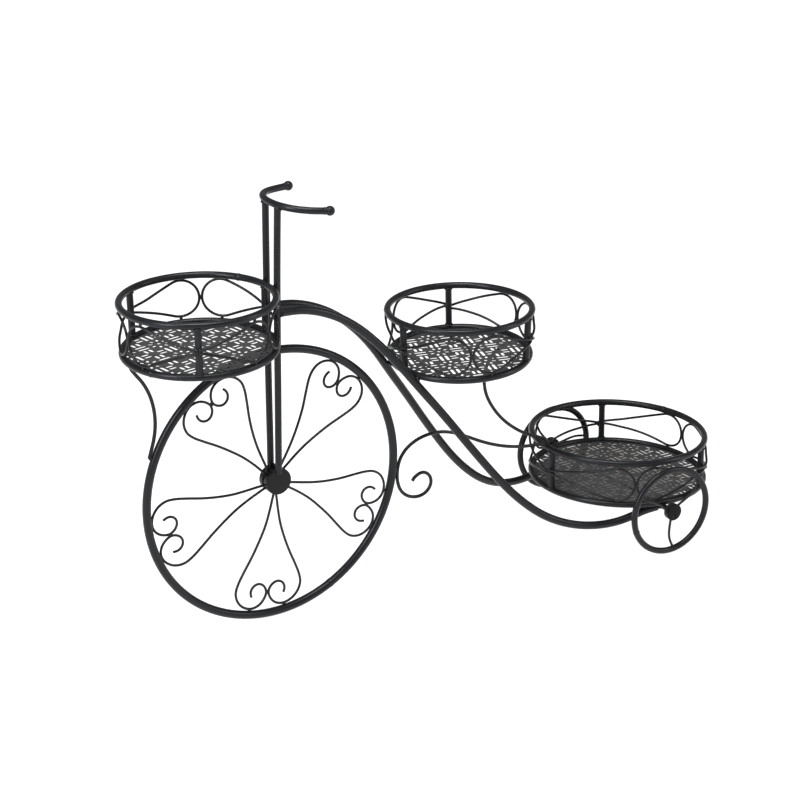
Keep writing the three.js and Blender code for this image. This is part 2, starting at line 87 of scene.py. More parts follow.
def paint(name, dark, light, rough, peel, wave, specular=0.5):
    """Powder coat: near black with a faint mottle, an orange peel finer than a millimetre, and slow waves in its gloss."""
    mat = bpy.data.materials.new(name)
    t, shader = node_tree(mat)
    n, link = t.nodes, t.links
    where = n.new("ShaderNodeTexCoord").outputs["Object"]

    def noise_tex(scale, detail, roughness=0.5):
        tex = n.new("ShaderNodeTexNoise")
        tex.inputs["Scale"].default_value = scale
        tex.inputs["Detail"].default_value = detail
        tex.inputs["Roughness"].default_value = roughness
        link.new(where, tex.inputs["Vector"])
        return tex.outputs["Fac"]

    def ramp(value, stops):
        r = n.new("ShaderNodeValToRGB")
        while len(r.color_ramp.elements) < len(stops):
            r.color_ramp.elements.new(0.5)
        for e, (at, colour) in zip(r.color_ramp.elements, stops):
            e.position, e.color = at, (*colour, 1)
        link.new(value, r.inputs["Fac"])
        return r.outputs["Color"]

    def spread(value, lo, hi, a=0.3, b=0.7):
        r = n.new("ShaderNodeMapRange")
        r.inputs["From Min"].default_value, r.inputs["From Max"].default_value = a, b
        r.inputs["To Min"].default_value, r.inputs["To Max"].default_value = lo, hi
        link.new(value, r.inputs["Value"])
        return r.outputs["Result"]

    mottle = ramp(noise_tex(38, 4, 0.6), [(0.32, dark), (0.68, light)])
    grain = ramp(noise_tex(2600, 2), [(0.35, (0.90, 0.90, 0.90)), (0.62, (1.0, 1.0, 1.0)), (0.74, (1.22, 1.22, 1.24))])
    mix = n.new("ShaderNodeMix")
    mix.data_type, mix.blend_type = "RGBA", "MULTIPLY"
    mix.inputs["Factor"].default_value = 1.0
    link.new(mottle, mix.inputs["A"])
    link.new(grain, mix.inputs["B"])
    link.new(mix.outputs["Result"], shader.inputs["Base Color"])

    cloud = spread(noise_tex(55, 3), rough - 0.05, rough + 0.05)
    speck = spread(noise_tex(1500, 2), -0.04, 0.04)
    total = n.new("ShaderNodeMath")
    total.operation = "ADD"
    link.new(cloud, total.inputs[0])
    link.new(speck, total.inputs[1])
    link.new(total.outputs[0], shader.inputs["Roughness"])
    shader.inputs["Specular IOR Level"].default_value = specular
    shader.inputs["IOR"].default_value = 1.5

    fine = n.new("ShaderNodeBump")
    fine.inputs["Strength"].default_value = peel
    fine.inputs["Distance"].default_value = 0.00006
    link.new(noise_tex(1250, 2), fine.inputs["Height"])
    broad = n.new("ShaderNodeBump")
    broad.inputs["Strength"].default_value = wave
    broad.inputs["Distance"].default_value = 0.0002
    link.new(noise_tex(190, 2), broad.inputs["Height"])
    link.new(broad.outputs[0], fine.inputs["Normal"])
    link.new(fine.outputs[0], shader.inputs["Normal"])
    return mat


TUBE_PAINT = paint("tube_powder_coat", (0.0068, 0.0071, 0.0086), (0.0096, 0.0100, 0.0120), 0.33, 0.10, 0.12, 0.25)
# The hub discs and the rear caps wear darker copies of the same powder coat: painted shade on their faces.
CAP_PAINT_SHADED = paint("cap_powder_coat_painted_shade", (0.0018, 0.0019, 0.0021), (0.0026, 0.0027, 0.0030), 0.36, 0.2, 0.2, 0.12)
DISC_PAINT_SHADED = paint("disc_powder_coat_painted_shade", (0.0031, 0.0032, 0.0036), (0.0044, 0.0046, 0.0051), 0.33, 0.2, 0.2, 0.2)
WIRE_PAINT = paint("wire_powder_coat", (0.0072, 0.0071, 0.0080), (0.0104, 0.0102, 0.0112), 0.32, 0.15, 0.15, 0.25)
WELD_PAINT = paint("weld_powder_coat", (0.0068, 0.0072, 0.0084), (0.0098, 0.0102, 0.0118), 0.36, 0.45, 0.6, 0.28)
PLATE_PAINT = paint("plate_powder_coat", (0.0330, 0.0325, 0.0330), (0.0470, 0.0462, 0.0468), 0.52, 0.4, 0.35)


def floor_material():
    """A white light table, with one painted shadow on the far side of the rear basket: a darker patch,
    darkest towards the front of the stand, where the floor also glows less. The camera sees that
    painted shadow through the holes of the tray only."""
    mat = bpy.data.materials.new("studio_floor")
    t, shader = node_tree(mat)
    n, link = t.nodes, t.links
    where = n.new("ShaderNodeTexCoord").outputs["Object"]
    tex = n.new("ShaderNodeTexNoise")
    tex.inputs["Scale"].default_value = 3
    link.new(where, tex.inputs["Vector"])
    white = n.new("ShaderNodeValToRGB")
    white.color_ramp.elements[0].color = (0.30, 0.30, 0.302, 1)
    white.color_ramp.elements[1].color = (0.32, 0.32, 0.322, 1)
    link.new(tex.outputs["Fac"], white.inputs["Fac"])

    # The painted shadow: a round patch of darker floor colour.
    apart = n.new("ShaderNodeVectorMath")
    apart.operation = "DISTANCE"
    link.new(where, apart.inputs[0])
    apart.inputs[1].default_value = tuple(to_frame((647.3, 125.8, 0.0)))
    painted_shadow_mask = n.new("ShaderNodeMapRange")
    painted_shadow_mask.interpolation_type = "SMOOTHSTEP"
    painted_shadow_mask.inputs["From Min"].default_value, painted_shadow_mask.inputs["From Max"].default_value = 0.110, 0.126
    painted_shadow_mask.inputs["To Min"].default_value, painted_shadow_mask.inputs["To Max"].default_value = 1.0, 0.0
    link.new(apart.outputs["Value"], painted_shadow_mask.inputs["Value"])

    # The painted shadow's shade deepens towards the front of the stand.
    split = n.new("ShaderNodeSeparateXYZ")
    link.new(where, split.inputs[0])
    across = n.new("ShaderNodeMapRange")
    x = float(to_frame((649.3, 0, 0))[0])
    across.inputs["From Min"].default_value, across.inputs["From Max"].default_value = x - 0.12, x + 0.12
    link.new(split.outputs["X"], across.inputs["Value"])
    painted_shadow_colour = n.new("ShaderNodeValToRGB")
    stops = [(0.0, (0.05, 0.045, 0.041)), (0.3, (0.14, 0.122, 0.107)), (0.75, (0.28, 0.245, 0.215)), (1.0, (0.9, 0.88, 0.86))]
    while len(painted_shadow_colour.color_ramp.elements) < len(stops):
        painted_shadow_colour.color_ramp.elements.new(0.5)
    for e, (at, colour) in zip(painted_shadow_colour.color_ramp.elements, stops):
        e.position, e.color = at, (*colour, 1)
    link.new(across.outputs["Result"], painted_shadow_colour.inputs["Fac"])
    mix = n.new("ShaderNodeMix")
    mix.data_type = "RGBA"
    link.new(painted_shadow_mask.outputs["Result"], mix.inputs["Factor"])
    link.new(white.outputs["Color"], mix.inputs["A"])
    link.new(painted_shadow_colour.outputs["Color"], mix.inputs["B"])
    link.new(mix.outputs["Result"], shader.inputs["Base Color"])
    shader.inputs["Roughness"].default_value = 0.7
    shader.inputs["Specular IOR Level"].default_value = 0.2
    shader.inputs["Emission Color"].default_value = (1.0, 1.0, 1.0, 1)
    # The floor glows less within the painted shadow.
    glow = n.new("ShaderNodeMapRange")
    glow.inputs["To Min"].default_value, glow.inputs["To Max"].default_value = 0.95, 0.07
    link.new(painted_shadow_mask.outputs["Result"], glow.inputs["Value"])
    link.new(glow.outputs["Result"], shader.inputs["Emission Strength"])
    return mat


# ---------------------------------------------------------------- mesh tools
class Shape:
    """Gathers points and faces, in millimetres."""

    def __init__(self):
        self.points, self.quads, self.tris, self.count = [], [], [], 0

    def add(self, points, quads=None, tris=None):
        points = np.asarray(points, float).reshape(-1, 3)
        if quads is not None and len(quads):
            self.quads.append(np.asarray(quads, int) + self.count)
        if tris is not None and len(tris):
            self.tris.append(np.asarray(tris, int) + self.count)
        self.points.append(points)
        self.count += len(points)
        return self

    def mesh(self, name, smooth=True):
        me = bpy.data.meshes.new(name)
        co = to_frame(np.concatenate(self.points))
        quads = np.concatenate(self.quads) if self.quads else np.zeros((0, 4), int)
        tris = np.concatenate(self.tris) if self.tris else np.zeros((0, 3), int)
        me.vertices.add(len(co))
        me.vertices.foreach_set("co", co.astype(np.float32).ravel())
        loops = np.concatenate([quads.ravel(), tris.ravel()])
        sizes = np.concatenate([np.full(len(quads), 4), np.full(len(tris), 3)])
        starts = np.concatenate([[0], np.cumsum(sizes)[:-1]]) if len(sizes) else sizes
        me.loops.add(len(loops))
        me.loops.foreach_set("vertex_index", loops.astype(np.int32))
        me.polygons.add(len(sizes))
        me.polygons.foreach_set("loop_start", starts.astype(np.int32))
        me.polygons.foreach_set("loop_total", sizes.astype(np.int32))
        me.polygons.foreach_set("use_smooth", np.full(len(sizes), smooth))
        me.update(calc_edges=True)
        me.validate()
        return me


def place(name, shape, material, body="frame", nodes=()):
    """A shown piece: on its body, with its finish, in place of its solids."""
    me = shape.mesh(name) if isinstance(shape, Shape) else shape
    o = bpy.data.objects.new(name, me)
    bpy.context.scene.collection.objects.link(o)
    me.materials.append(material)
    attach(o, body)
    if nodes:
        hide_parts(*nodes)
    return o


def unit(v):
    v = np.asarray(v, float)
    return v / np.linalg.norm(v)


def spline(points, step=1.2, smooth=0.0):
    """Evenly spaced points on a centripetal curve through the given ones, with the measured
    wobble smoothed out over a length of `smooth`."""
    p = np.asarray(points, float)
    q = np.vstack([2 * p[0] - p[1], p, 2 * p[-1] - p[-2]])
    dense = []
    for i in range(len(p) - 1):
        a, b, c, d = q[i : i + 4]
        t0 = 0.0
        t1 = t0 + max(np.linalg.norm(b - a), 1e-6) ** 0.5
        t2 = t1 + max(np.linalg.norm(c - b), 1e-6) ** 0.5
        t3 = t2 + max(np.linalg.norm(d - c), 1e-6) ** 0.5
        k = max(2, int(np.ceil(np.linalg.norm(c - b) / 0.4)))
        t = np.linspace(t1, t2, k, endpoint=False)[:, None]
        a1 = (t1 - t) / (t1 - t0) * a + (t - t0) / (t1 - t0) * b
        a2 = (t2 - t) / (t2 - t1) * b + (t - t1) / (t2 - t1) * c
        a3 = (t3 - t) / (t3 - t2) * c + (t - t2) / (t3 - t2) * d
        b1 = (t2 - t) / (t2 - t0) * a1 + (t - t0) / (t2 - t0) * a2
        b2 = (t3 - t) / (t3 - t1) * a2 + (t - t1) / (t3 - t1) * a3
        dense.append((t2 - t) / (t2 - t1) * b1 + (t - t1) / (t2 - t1) * b2)
    return even(np.vstack([*dense, p[-1:]]), step, smooth)


def even(p, step=1.2, smooth=0.0):
    """Points an even step apart along a line."""
    s = np.concatenate([[0], np.cumsum(np.linalg.norm(np.diff(p, axis=0), axis=1))])
    n = max(3, int(round(s[-1] / step)) + 1)
    at = np.linspace(0, s[-1], n)
    p = np.stack([np.interp(at, s, p[:, k]) for k in range(3)], 1)
    if smooth > 0:
        w = smooth / (s[-1] / (n - 1))
        k = int(np.ceil(3 * w))
        k = min(k, n - 1)
        g = np.exp(-0.5 * (np.arange(-k, k + 1) / w) ** 2)
        g /= g.sum()
        wide = np.vstack([2 * p[0] - p[k:0:-1], p, 2 * p[-1] - p[-2 : -k - 2 : -1]])
        p = np.stack([np.convolve(wide[:, c], g, "valid") for c in range(3)], 1)
    return p


def frames(p):
    """Tangents and two normals that don't twist along the line."""
    t = np.gradient(p, axis=0)
    t /= np.linalg.norm(t, axis=1)[:, None]
    h = np.array([0, 0, 1.0]) if abs(t[0][2]) < 0.9 else np.array([1.0, 0, 0])
    n = np.zeros_like(p)
    n[0] = unit(np.cross(t[0], h))
    for i in range(len(p) - 1):
        v1 = p[i + 1] - p[i]
        c1 = v1 @ v1
        nl = n[i] - 2 / c1 * (v1 @ n[i]) * v1
        tl = t[i] - 2 / c1 * (v1 @ t[i]) * v1
        v2 = t[i + 1] - tl
        c2 = v2 @ v2
        n[i + 1] = nl if c2 < 1e-12 else nl - 2 / c2 * (v2 @ nl) * v2
        n[i + 1] = unit(n[i + 1] - (n[i + 1] @ t[i + 1]) * t[i + 1])
    return t, n, np.cross(t, n)


def tube(shape, p, r, sides=18, ends=("cut", "cut"), swell=None):
    """A round bar along points p. Its ends are cut square with a small round, domed, or open."""
    t, n, b = frames(p)
    radius = np.full(len(p), float(r)) if swell is None else np.asarray(swell, float)
    centre = [x for x in p]
    rr = [x for x in radius]
    tt, nn, bb = list(t), list(n), list(b)

    def end(kind, at, out, k):
        """Rings added beyond the last one: (offset outwards, radius)."""
        R = radius[k]
        if kind == "cut":
            c = min(0.45, 0.3 * R)
            return [(-c, R), (-0.6 * c, R - 0.08 * c), (-0.25 * c, R - 0.35 * c), (0, R - 0.9 * c)]
        if kind == "dome":
            a = np.linspace(0, np.pi / 2, 7)[1:-1]
            return [(R * 0.8 * math.sin(x), R * math.cos(x)) for x in a]
        return []

    first = end(ends[0], p[0], -t[0], 0)
    last = end(ends[1], p[-1], t[-1], -1)
    if ends[0] == "cut":
        centre[0] = p[0] - t[0] * first[0][0]
        first = first[1:]
    if ends[1] == "cut":
        centre[-1] = p[-1] + t[-1] * last[0][0]
        last = last[1:]
    rings_c = [p[0] - t[0] * o for o, _ in reversed(first)] + centre + [p[-1] + t[-1] * o for o, _ in last]
    rings_r = [q for _, q in reversed(first)] + rr + [q for _, q in last]
    rings_n = [nn[0]] * len(first) + nn + [nn[-1]] * len(last)
    rings_b = [bb[0]] * len(first) + bb + [bb[-1]] * len(last)
    c, q = np.array(rings_c), np.array(rings_r)
    n2, b2 = np.array(rings_n), np.array(rings_b)
    a = np.arange(sides) / sides * 2 * np.pi
    v = c[:, None] + q[:, None, None] * (np.cos(a)[None, :, None] * n2[:, None] + np.sin(a)[None, :, None] * b2[:, None])
    m = len(c)
    i, j = np.meshgrid(np.arange(m - 1), np.arange(sides), indexing="ij")
    k = (j + 1) % sides
    quads = np.stack([i * sides + j, (i + 1) * sides + j, (i + 1) * sides + k, i * sides + k], -1).reshape(-1, 4)[:, ::-1]
    points = v.reshape(-1, 3)
    tris = []
    if ends[0] != "open":
        tip = p[0] - t[0] * (radius[0] * 0.8 if ends[0] == "dome" else 0)
        points = np.vstack([points, tip])
        tris += [[len(points) - 1, (x + 1) % sides, x] for x in range(sides)]
    if ends[1] != "open":
        tip = p[-1] + t[-1] * (radius[-1] * 0.8 if ends[1] == "dome" else 0)
        points = np.vstack([points, tip])
        base = (m - 1) * sides
        tris += [[len(points) - 1, base + x, base + (x + 1) % sides] for x in range(sides)]
    return shape.add(points, quads, tris)


def basis(axis):
    z = unit(axis)
    h = np.array([0, 0, 1.0]) if abs(z[2]) < 0.9 else np.array([1.0, 0, 0])
    x = unit(np.cross(h, z))
    return x, np.cross(z, x), z


def ring(shape, centre, axis, R, r, segments=180, sides=20, seam=None, seed=0.0, zero=None):
    """A closed ring of round tube, with the low bead of its butt weld at the angle `seam`."""
    if zero is None:
        x, y, z = basis(axis)
    else:
        z = unit(axis)
        x = unit(np.asarray(zero) - (np.asarray(zero) @ z) * z)
        y = np.cross(z, x)
    A = np.arange(segments) / segments * 2 * np.pi
    if seam is not None:  # finer steps at the bead
        d = (A - math.radians(seam) + np.pi) % (2 * np.pi) - np.pi
        A = math.radians(seam) + d - 0.9 * np.sin(d) * np.exp(-((d / 0.35) ** 2)) * 0.35 / 0.35
        A = np.sort((A + 4 * np.pi) % (2 * np.pi))
    B = np.arange(sides) / sides * 2 * np.pi
    q = np.full((segments, sides), float(r))
    if seam is not None:
        d = ((A - math.radians(seam) + np.pi) % (2 * np.pi) - np.pi) * R
        for i in np.where(np.abs(d) < 6)[0]:
            for j in range(sides):
                lump = noise.noise(Vector((d[i] * 0.7, math.cos(B[j]) * 2.2 + seed, math.sin(B[j]) * 2.2)))
                q[i, j] += (0.42 + 0.25 * lump) * math.exp(-((d[i] / 1.9) ** 2))
    out = np.cos(A)[:, None] * x + np.sin(A)[:, None] * y
    v = np.asarray(centre, float) + out[:, None] * (R + q * np.cos(B))[..., None] + (q * np.sin(B))[..., None] * z
    i, j = np.meshgrid(np.arange(segments), np.arange(sides), indexing="ij")
    k, l = (i + 1) % segments, (j + 1) % sides
    quads = np.stack([i * sides + j, k * sides + j, k * sides + l, i * sides + l], -1).reshape(-1, 4)
    return shape.add(v, quads)


def turned(shape, centre, axis, profile, segments=64):
    """A solid of revolution about an axis: profile is (radius, height) from the axis back to it."""
    x, y, z = basis(axis)
    A = np.arange(segments) / segments * 2 * np.pi
    out = np.cos(A)[:, None] * x + np.sin(A)[:, None] * y
    inner = [q for q in profile if q[0] > 1e-9]
    c = np.asarray(centre, float)
    v = [c + out * q[0] + z * q[1] for q in inner]
    m = len(inner)
    points = np.array(v).reshape(-1, 3)
    closed = profile[0][0] > 1e-9
    i, j = np.meshgrid(np.arange(m if closed else m - 1), np.arange(segments), indexing="ij")
    ii = (i + 1) % m
    k = (j + 1) % segments
    quads = np.stack([i * segments + j, i * segments + k, ii * segments + k, ii * segments + j], -1).reshape(-1, 4)
    tris = []
    if not closed:
        points = np.vstack([points, c + z * profile[0][1], c + z * profile[-1][1]])
        a, b = len(points) - 2, len(points) - 1
        base = (m - 1) * segments
        tris = [[a, (t + 1) % segments, t] for t in range(segments)]
        tris += [[b, base + t, base + (t + 1) % segments] for t in range(segments)]
    return shape.add(points, quads, tris)


def rounded(profile, r, n=4):
    """Rounds the corners of an open profile."""
    out = [profile[0]]
    for a, b, c in zip(profile, profile[1:], profile[2:]):
        a, b, c = (np.array(p, float) for p in (a, b, c))
        u, w = a - b, c - b
        k = min(r, 0.45 * np.linalg.norm(u), 0.45 * np.linalg.norm(w))
        p, q = b + unit(u) * k, b + unit(w) * k
        for t in np.linspace(0, 1, n + 1):
            out.append(tuple((1 - t) ** 2 * p + 2 * t * (1 - t) * b + t * t * q))
    out.append(profile[-1])
    return out


def bead(shape, centre, radii, axes=None, seed=0.0, lumps=0.14, n=18):
    """A lump of weld metal under paint."""
    if axes is None:
        axes = np.eye(3)
    rows = n // 2 + 1
    centre = np.asarray(centre, float)
    th = np.linspace(0, np.pi, rows)
    ph = np.arange(n) / n * 2 * np.pi
    points = []
    for a in th:
        for b in ph if 0 < a < np.pi - 1e-6 else [0.0]:
            d = np.array([math.sin(a) * math.cos(b), math.sin(a) * math.sin(b), math.cos(a)])
            k = 1 + lumps * noise.noise(Vector(d * 1.7) + Vector((seed * 7.3, seed * 3.1, seed)))
            k += lumps * 0.5 * noise.noise(Vector(d * 4.1) + Vector((seed * 1.3, seed, seed * 5.7)))
            points.append(centre + (d * radii * k) @ np.asarray(axes, float))
    quads, tris = [], []
    for j in range(n):
        k = (j + 1) % n
        tris.append([0, 1 + j, 1 + k])
        for i in range(rows - 3):
            quads.append([1 + i * n + j, 1 + (i + 1) * n + j, 1 + (i + 1) * n + k, 1 + i * n + k])
        tris.append([len(points) - 1, 1 + (rows - 3) * n + k, 1 + (rows - 3) * n + j])
    return shape.add(points, quads, tris)


def fillet(shape, foot, up, along, r_post, r_base, r_bead, seed=0.0, sides=10, steps=48, reach=0.72):
    """The bead of weld round a tube that stands on another: a closed line that dips down the sides
    of the lower tube. foot is on the lower tube's centre line, along is its direction there."""
    up, along = unit(up), unit(along)
    side = unit(np.cross(up, along))
    a = np.arange(steps) / steps * 2 * np.pi
    q = r_post + 0.15 * r_bead
    drop = np.sqrt(np.maximum(r_base**2 - (reach * q * np.sin(a)) ** 2, 0.05 * r_base**2))
    p = np.asarray(foot, float) + q * (np.cos(a)[:, None] * along + np.sin(a)[:, None] * side) + (drop + 0.25 * r_bead)[:, None] * up
    t = np.roll(p, -1, 0) - np.roll(p, 1, 0)
    t /= np.linalg.norm(t, axis=1)[:, None]
    out = np.cos(a)[:, None] * along + np.sin(a)[:, None] * side
    b = np.cross(t, out)
    b /= np.linalg.norm(b, axis=1)[:, None]
    n2 = np.cross(b, t)
    A = np.arange(sides) / sides * 2 * np.pi
    v = []
    for i in range(steps):
        k = r_bead * (1 + 0.28 * noise.noise(Vector(p[i] * 0.55) + Vector((seed, 0, 0))) + 0.1 * math.sin(i * 1.9 + seed))
        v.append(p[i] + k * (np.cos(A)[:, None] * n2[i] + np.sin(A)[:, None] * b[i]))
    i, j = np.meshgrid(np.arange(steps), np.arange(sides), indexing="ij")
    k, l = (i + 1) % steps, (j + 1) % sides
    quads = np.stack([i * sides + j, i * sides + l, k * sides + l, k * sides + j], -1).reshape(-1, 4)
    return shape.add(np.array(v).reshape(-1, 3), quads)


def rad(d):
    return math.radians(d)


# ---------------------------------------------------------------- sizes, as in the solids
FRAME_TUBE, TUBE, REAR_RIM_TUBE, ROD, WIRE, GAP = 5.0, 4.0, 3.9, 2.25, 1.6, 0.35
# the radii that are drawn: up to 0.5 mm over the CAD's, because the tubes look that thick
FRAME_SHOWN, TUBE_SHOWN, RIM_SHOWN, ROD_SHOWN, WIRE_SHOWN = 5.5, 4.42, 4.35, 2.35, 1.7
WHEEL_R = 180.0
HUB_Z = WHEEL_R + FRAME_TUBE
HUB = (2.3, 190.8)
CORE_R, DISC_R, DISC_IN, DISC_OUT = 12.5, 17.0, 1.5, 10.4
HEART_ANGLES = [123.2, 49.9, -24.7, -95.6, -167.1]
HEART = [
    (13.8, 2.3), (26, 4.6), (40, 7), (60, 11.5), (80, 18), (100, 26), (120, 36), (135, 43),
    (146, 45.6), (157, 43.3), (165.2, 37), (170, 28.4), (171, 20), (167.6, 11), (160, 4.8), (152, 2.6),
    (144.6, 5.2), (139.8, 10.2), (138.6, 15.4), (140.8, 21), (146.6, 24.6), (153, 24.2), (156.6, 22.6),
]
STATIONS = (0, 0.2, 0.4, 0.55, 0.7, 0.85, 1)
HEART_BEND = [
    (
     ((0.2, 1, 0.4, -0.2, 0.8, 0.3, 0.8), (3.2, 2.1, 0.7, 0.9, 0.6, -0.9, -0.1)),
     ((0.3, -0.5, -0.7, -0.3, -0.3, 0.6, 2.2), (-4.2, -1.2, 1.4, 1, 0.1, -0.8, -0.2)),
    ),
    (
     ((-0.5, -0.3, 0.6, 0.9, 0.6, 0.3, 3.9), (0.7, 0.7, -0.9, -1.7, 0.5, -0.7, -2.7)),
     ((0.5, 0.3, -0, -0.5, 0.2, 0.8, 2.9), (-0.9, -1.2, -2.3, -2.1, -0.5, -1.9, -2.2)),
    ),
    (
     ((0.6, -0.9, -2.3, -2.1, -1.5, -0.9, -0.1), (-4.1, -1.4, 1, -0.1, -0.4, -1.1, -0.5)),
     ((0.9, 1.1, -0, -1, -0.9, -1.6, 0.7), (2.3, 0.8, -0.1, 0.1, -0.1, -1.5, -0.8)),
    ),
    (
     ((-0.3, -1.3, -2.2, -1.9, -1.4, -1.7, -1.2), (-1.4, 0.4, 3.8, 2.9, 0.7, -1.7, 0.7)),
     ((0.2, -0.5, -1.7, -1.6, -0.7, -1.6, -1.8), (-2.4, -1.8, 1.4, 1.8, 0.7, -0.7, 0.8)),
    ),
    (
     ((0.7, 0.9, -0.4, -0.6, 1.5, 0.9, 0.3), (2.4, 1.2, 1, 0.4, -0.7, -1.6, 0.5)),
     ((-0.8, -0.9, -1.1, 0.9, 1.6, 1.2, 1.2), (-4.1, -2, 1.9, 1.5, 0.5, -0.8, 0.7)),
    ),
]
FORK = [
    (2.1, 10.5, 208.15), (2.8, 10.7, 240), (3.5, 11.4, 280), (4.3, 12.0, 320), (5.0, 12.4, 360),
    (5.9, 12.8, 400), (6.8, 13.2, 440), (7.9, 13.7, 480), (9.1, 14.4, 520), (10.2, 15.0, 551.6),
]
BAR = [
    (53, -51.5, 551.1), (49.4, -50.4, 551.5), (43.7, -48.2, 552), (38.2, -45.7, 552.6),
    (33.1, -42.4, 553.2), (28.2, -38.8, 553.7), (23.7, -34.6, 554.3), (19.6, -29.7, 554.8),
    (16, -23.8, 555.4), (12.9, -16.9, 555.9), (10.9, -10.6, 556.3), (9.6, -3.2, 556.7),
    (9, 5.8, 557.1), (9.4, 13.3, 557.4), (11, 20.9, 557.6), (13.9, 28.1, 557.6),
    (18, 34.5, 557.5), (24.1, 40.9, 557.3), (31.3, 45.6, 556.8), (38.8, 48.9, 556.3),
    (45.9, 51.4, 555.8), (52.8, 53.6, 555.3),
]
KNOBS, KNOB_R = ((61.7, -53.2, 550.3), (66.7, 57.9, 554.3)), 6.2
FRAME = [
    (10.9, 14.2, 418.2), (26, 14.1, 417.6), (42, 14.2, 415.8), (60, 14.4, 410.8), (80, 14.6, 402.7),
    (101, 14.9, 390.9), (122, 16.2, 375.3), (142, 18.9, 356.2), (161, 23.2, 334.9), (180, 29.4, 310.6),
    (200, 36.2, 283.1), (220, 42.4, 256.2), (240, 48.0, 228.7), (260, 53.2, 200.2), (280, 57.9, 172.6),
    (300, 62.2, 146), (321, 66.3, 120.5), (342, 69.9, 98.8), (366, 74.4, 78.4), (392, 79.8, 62.8),
    (420, 86.2, 52.4), (448, 92.2, 47.4), (474, 97.6, 47.2), (496, 102.4, 51.2), (514, 107.4, 58.0),
    (533.2, 115.2, 62.8),
]
BASKETS = [
    dict(name="front_basket", x=-96.3, zt=452.1, rt=95.5, lt=(0, 0), zb=389.0, rb=94.5, lb=(-0.0148, -0.0173),
         posts=(2.5, 122.5, 242.5), circle=25, out=2.2, butt=0, drops=(
             ((-3.2, 0.5, -0.6, 0.5, -3.2, -1), (3.2, 0.5, 0.1, 1.2, 0, -0.3)),
             ((0, 0, 0, 2, -1, -1), (0, 0, 0, 0, -1, -1)),
             ((0, 0, 0, 0, -1, -1), (0, 0, 0, 2, -1, -1)),
         )),
    dict(name="middle_basket", x=285.4, zt=365.4, rt=94.8, lt=(0, 0), zb=303.2, rb=92.0, lb=(-0.0253, -0.0306),
         posts=(66, 186, 306), circle=25, out=2.6, butt=-1, drops=(
             ((-3.5, 0.4, 0, 0, -1, -1), (3.8, 0.6, -0.1, 0.3, 0.1, -2.4)),
             ((0, 0, 0, 0, -1, -1), (0, 0, 0, 0, -1, -1)),
             ((-4, -0.6, 0.1, -3.2, 1, -2.6), (4, -0.6, 0.1, 4.5, 1, 1.2)),
         )),
    dict(name="rear_basket", x=551.4, zt=129.2, rt=120.9, lt=(0.0435, 0), zb=69.3, rb=120.9, lb=(0.0435, 0),
         posts=(64.5, 184.5, 304.5), circle=25, out=2.6, butt=-1, drops=(
             ((-1.2, 0, 0, -2, -1.5, -1.5), (1.4, -0.1, 0.4, -5.4, -2.1, -2.6)),
             ((0, 0, 0, 0, -1, -1), (0, 0, 0, 0, -1, -1)),
             ((-0.6, -0.5, 0.3, -4.1, -2.4, -2.3), (1.2, -0.5, 0.2, -1.2, 0.6, 1.4)),
         )),
]
TRAY_T, TRAY_TOP = 1.0, -0.5
BRACE = [
    (-189.6, 381.0), (-184.6, 373.4), (-177.3, 364.1), (-171.7, 354.2), (-167.3, 344), (-164.2, 333.4),
    (-162.3, 322.8), (-161.5, 312.1), (-161.8, 301.5), (-163.2, 291.1), (-165.7, 280.6), (-169.0, 270.4),
    (-172.4, 260.6),
]
SCROLL = [
    (209.2, 137.6), (210.8, 140.4), (214.6, 143.5), (223.5, 146.7), (231.6, 144.3), (237.3, 137.7),
    (239.0, 129.5), (236.2, 121.7), (229.7, 115.9), (220.9, 113.3), (211.1, 114.2), (201.8, 117.9),
    (194.4, 123.9), (189.5, 131.3), (186.7, 139.7), (185.6, 148.8), (186.1, 157.7), (187.6, 166.1),
    (190.4, 173.6), (194.6, 180.2), (199.9, 185.7), (206.4, 190.3), (213.9, 194.0), (222.0, 196.6),
    (230.7, 198.3), (244.3, 198.9), (258.5, 197.1), (277.3, 191.0), (295.9, 181.8), (314.7, 171.6),
    (333.7, 162.4), (353.2, 154.8), (373.0, 148.9), (393.2, 144.8), (411, 142.9), (423.9, 140.6),
]
SUPPORT = [
    (377, 298.9), (366, 299.1), (356, 298.6), (346.4, 295.4), (337.4, 289.2), (330.6, 280.6), (326.4, 270.4),
    (324.4, 260), (324.7, 249.5), (327.4, 236.4), (333, 223.6), (340.6, 211.0), (349.8, 198.9), (360.7, 187.4),
    (372.9, 177.1), (386, 167.8), (399.7, 160.2), (414, 153.8), (423.8, 148.6), (429.8, 141.9),
]
REAR_X, REAR_R = 539.4, 59.1
REAR_Z = REAR_R + REAR_RIM_TUBE
REAR_Y = 135.8
AXLE_R, BORE_R, SLEEVE_R, HUB_DRUM_R, CAP_R, SPOKE_Y = 2.5, 2.85, 3.75, 10.8, 11.0, 138.0

# ================================================================ front wheel
Y = np.array([0, 1.0, 0])
place(
    "front_wheel_rim_tube",
    ring(Shape(), (0, 0, HUB_Z), -Y, WHEEL_R, FRAME_SHOWN, 300, 24, seam=-64, seed=3, zero=(1, 0, 0)),
    TUBE_PAINT, nodes=["front_wheel_rim"],
)



def heart_lines(i):
    """Centre lines of a heart's two wires. Their inner parts lean with the hub."""
    deg = HEART_ANGLES[i]
    c, s = math.cos(rad(deg)), math.sin(rad(deg))
    base = np.array(HEART, float)
    t = np.concatenate([[0], np.cumsum(np.hypot(*np.diff(base, axis=0).T))])
    t /= t[-1]
    k = np.clip((base[:, 0] - 13.8) / 106.2, 0, 1)
    k = 1 - k * k * (3 - 2 * k)
    found = []
    for side, (along, out) in zip((1, -1), HEART_BEND[i]):
        u = base[:, 0] + np.interp(t, STATIONS, along)
        v = side * (base[:, 1] + np.interp(t, STATIONS, out))
        x = u * c - v * s + k * HUB[0]
        z = HUB_Z + u * s + v * c + k * (HUB[1] - HUB_Z)
        found.append(np.stack([x, 0 * x, z], 1))
    return found


